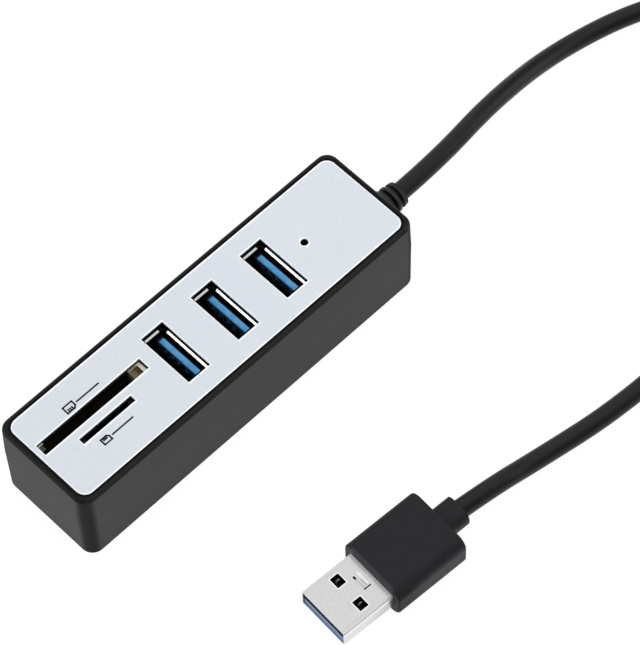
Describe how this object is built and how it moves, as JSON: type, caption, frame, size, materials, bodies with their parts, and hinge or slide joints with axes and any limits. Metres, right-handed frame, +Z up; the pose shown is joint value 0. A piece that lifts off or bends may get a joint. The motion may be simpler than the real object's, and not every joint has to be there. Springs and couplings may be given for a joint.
{
  "type": "usb hub card reader",
  "caption": "Oblong desk hub: upright ports and card slots in a silver top plate, dark housing, and a short captive cable that ends in a plug.",
  "frame": {"origin": "on the table under the middle of the housing", "axes": "+X to the side where the plug lies, +Y along the housing to its cable end, +Z up"},
  "size_m": [0.0805, 0.2002, 0.0211],
  "materials": {
    "housing": "fine matte grain",
    "cover": "fine matte grain",
    "plate": "satin, fine grain",
    "board": "green lacquer",
    "chip": "matte",
    "steel_can": "satin",
    "ceramic": "matte",
    "lamp": "clear lens",
    "socket": "matte",
    "guide": "pale, matte",
    "card_steel": "satin",
    "contact": "gold plated",
    "port_steel": "nickel plated, bright",
    "port_core": "blue, satin",
    "gland": "matte",
    "wire": "matte",
    "jacket": "satin",
    "grip": "satin",
    "plug_steel": "nickel plated, bright",
    "plug_core": "blue, satin"
  },
  "bodies": {
    "root": {"housing_shell": "housing", "base_cover": "cover", "face_plate": "plate", "main_board": "board", "card_board": "board", "hub_chip": "chip", "reader_chip": "chip", "crystal": "steel_can", "capacitors": "ceramic", "status_led": "lamp", "led_leads": "steel_can", "large_card_socket": "socket", "small_card_socket": "socket", "card_guide": "guide", "card_switch_leaf": "contact", "large_card_shell": "card_steel", "small_card_shell": "card_steel", "large_card_contacts": "contact", "small_card_contacts": "contact", "cable_gland": "gland", "cable_wires": "wire", "cable": "jacket", "plug_grip": "grip", "plug_shell": "plug_steel", "plug_insulator": "plug_core", "plug_contacts": "contact", "port_1_shell": "port_steel", "port_1_insulator": "port_core", "port_1_contacts": "contact", "port_2_shell": "port_steel", "port_2_insulator": "port_core", "port_2_contacts": "contact", "port_3_shell": "port_steel", "port_3_insulator": "port_core", "port_3_contacts": "contact"}
  },
  "joints": []
}
